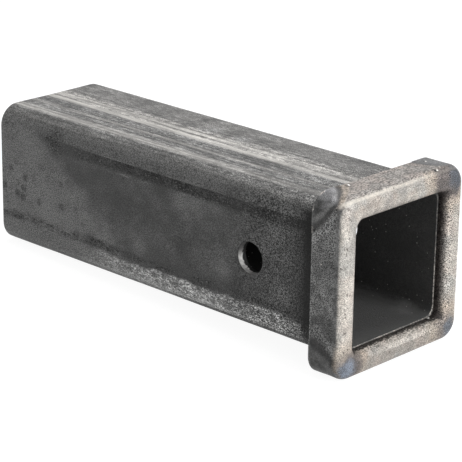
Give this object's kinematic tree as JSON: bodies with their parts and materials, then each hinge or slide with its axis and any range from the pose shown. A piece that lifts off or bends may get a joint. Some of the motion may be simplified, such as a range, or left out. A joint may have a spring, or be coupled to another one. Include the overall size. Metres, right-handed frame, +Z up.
{
  "type": "receiver tube",
  "caption": "Square steel tube with a cross hole for a hitch pin and a pressed, corner-welded collar round its open front; it is welded to a tow frame and holds a square shank.",
  "frame": {"origin": "on the hitch-pin hole's axis, at the middle of the tube", "axes": "+X runs along the tube and out of the opening, +Y along the pin hole, +Z up"},
  "size_m": [0.249, 0.0918, 0.0918],
  "materials": {
    "mill_scale_steel": "raw hot-rolled steel, dark mill scale with rubbed bright streaks",
    "collar_steel": "raw pressed steel plate, blasted face, dark sides",
    "ground_weld_steel": "weld metal ground smooth, blue and straw heat tint",
    "weld_bead_steel": "as-welded rippled bead, brown and grey oxide"
  },
  "bodies": {
    "root": {"square_tube": "mill_scale_steel", "front_collar": "collar_steel", "corner_weld_top_left": "ground_weld_steel", "corner_weld_top_right": "ground_weld_steel", "corner_weld_bottom_left": "ground_weld_steel", "corner_weld_bottom_right": "ground_weld_steel", "seam_weld": "weld_bead_steel"}
  },
  "joints": []
}
